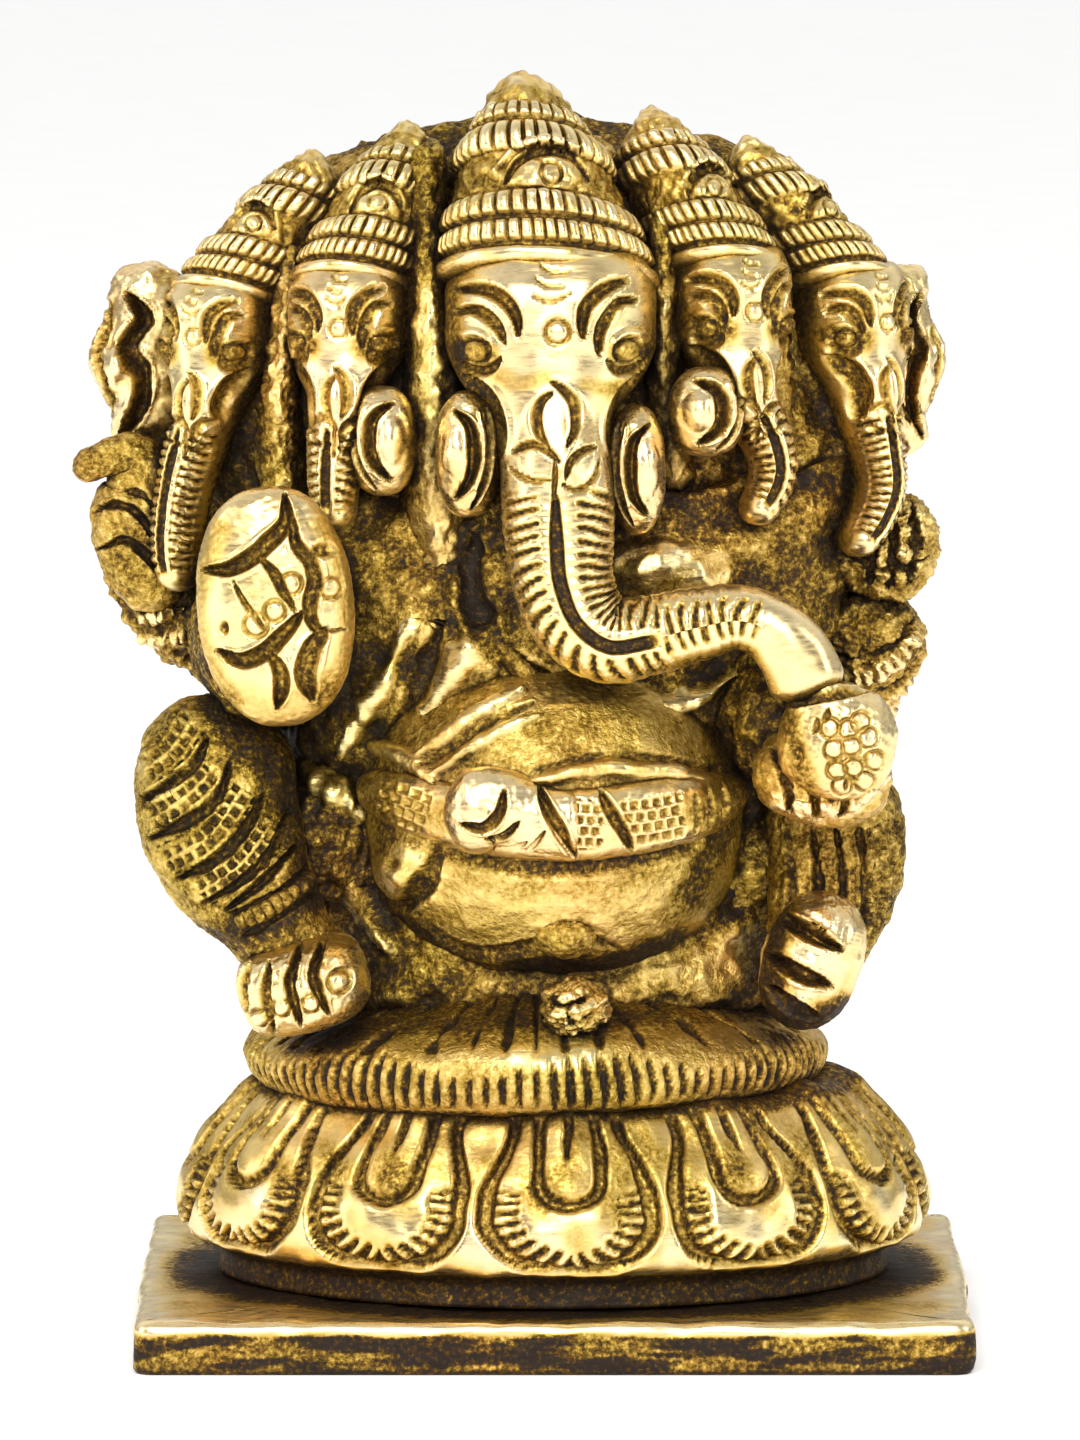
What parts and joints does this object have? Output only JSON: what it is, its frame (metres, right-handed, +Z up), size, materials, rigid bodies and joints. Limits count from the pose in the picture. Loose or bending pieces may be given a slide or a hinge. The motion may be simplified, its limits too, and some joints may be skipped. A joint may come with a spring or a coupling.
{
  "type": "seated deity figurine",
  "caption": "Small cast brass figurine of a seated elephant-headed deity with a fan of crowned heads, on a round lotus and a rectangular plinth.",
  "frame": {"origin": "middle of the plinth's underside", "axes": "+Z up, -Y is the figure's front, +X to the viewer's right"},
  "size_m": [0.0631, 0.044, 0.0902],
  "materials": {
    "polished_brass": "cast brass, hand-rubbed bright on its high places, with dark brown patina in its cuts",
    "aged_brass": "rough cast brass with dark brown and olive patina and a few rubbed places"
  },
  "bodies": {
    "root": {"plinth": "polished_brass", "lotus_pedestal": "polished_brass", "seat_cushion": "aged_brass", "torso": "aged_brass", "belly": "aged_brass", "navel": "aged_brass", "snake_girdle": "polished_brass", "snake_head": "polished_brass", "mouse": "aged_brass", "right_thigh": "aged_brass", "right_leg": "aged_brass", "right_foot": "polished_brass", "left_thigh": "aged_brass", "left_leg": "aged_brass", "left_foot": "polished_brass", "raised_upper_arm": "aged_brass", "raised_forearm": "aged_brass", "raised_hand": "polished_brass", "offering_arm": "aged_brass", "offering_hand": "polished_brass", "sweet_bowl": "polished_brass", "rear_arm_left": "aged_brass", "conch": "aged_brass", "rear_arm_right": "aged_brass", "lotus_bud": "aged_brass", "head_fan": "aged_brass", "centre_head": "polished_brass", "centre_crown": "polished_brass", "centre_trunk": "polished_brass", "centre_ear_left": "polished_brass", "centre_ear_right": "polished_brass", "inner_left_head": "polished_brass", "inner_left_crown": "polished_brass", "inner_left_trunk": "polished_brass", "inner_left_ear": "polished_brass", "inner_right_head": "polished_brass", "inner_right_crown": "polished_brass", "inner_right_trunk": "polished_brass", "inner_right_ear": "polished_brass", "outer_left_head": "polished_brass", "outer_left_crown": "polished_brass", "outer_left_trunk": "polished_brass", "outer_left_ear": "polished_brass", "outer_right_head": "polished_brass", "outer_right_crown": "polished_brass", "outer_right_trunk": "polished_brass", "outer_right_ear": "polished_brass"}
  },
  "joints": []
}
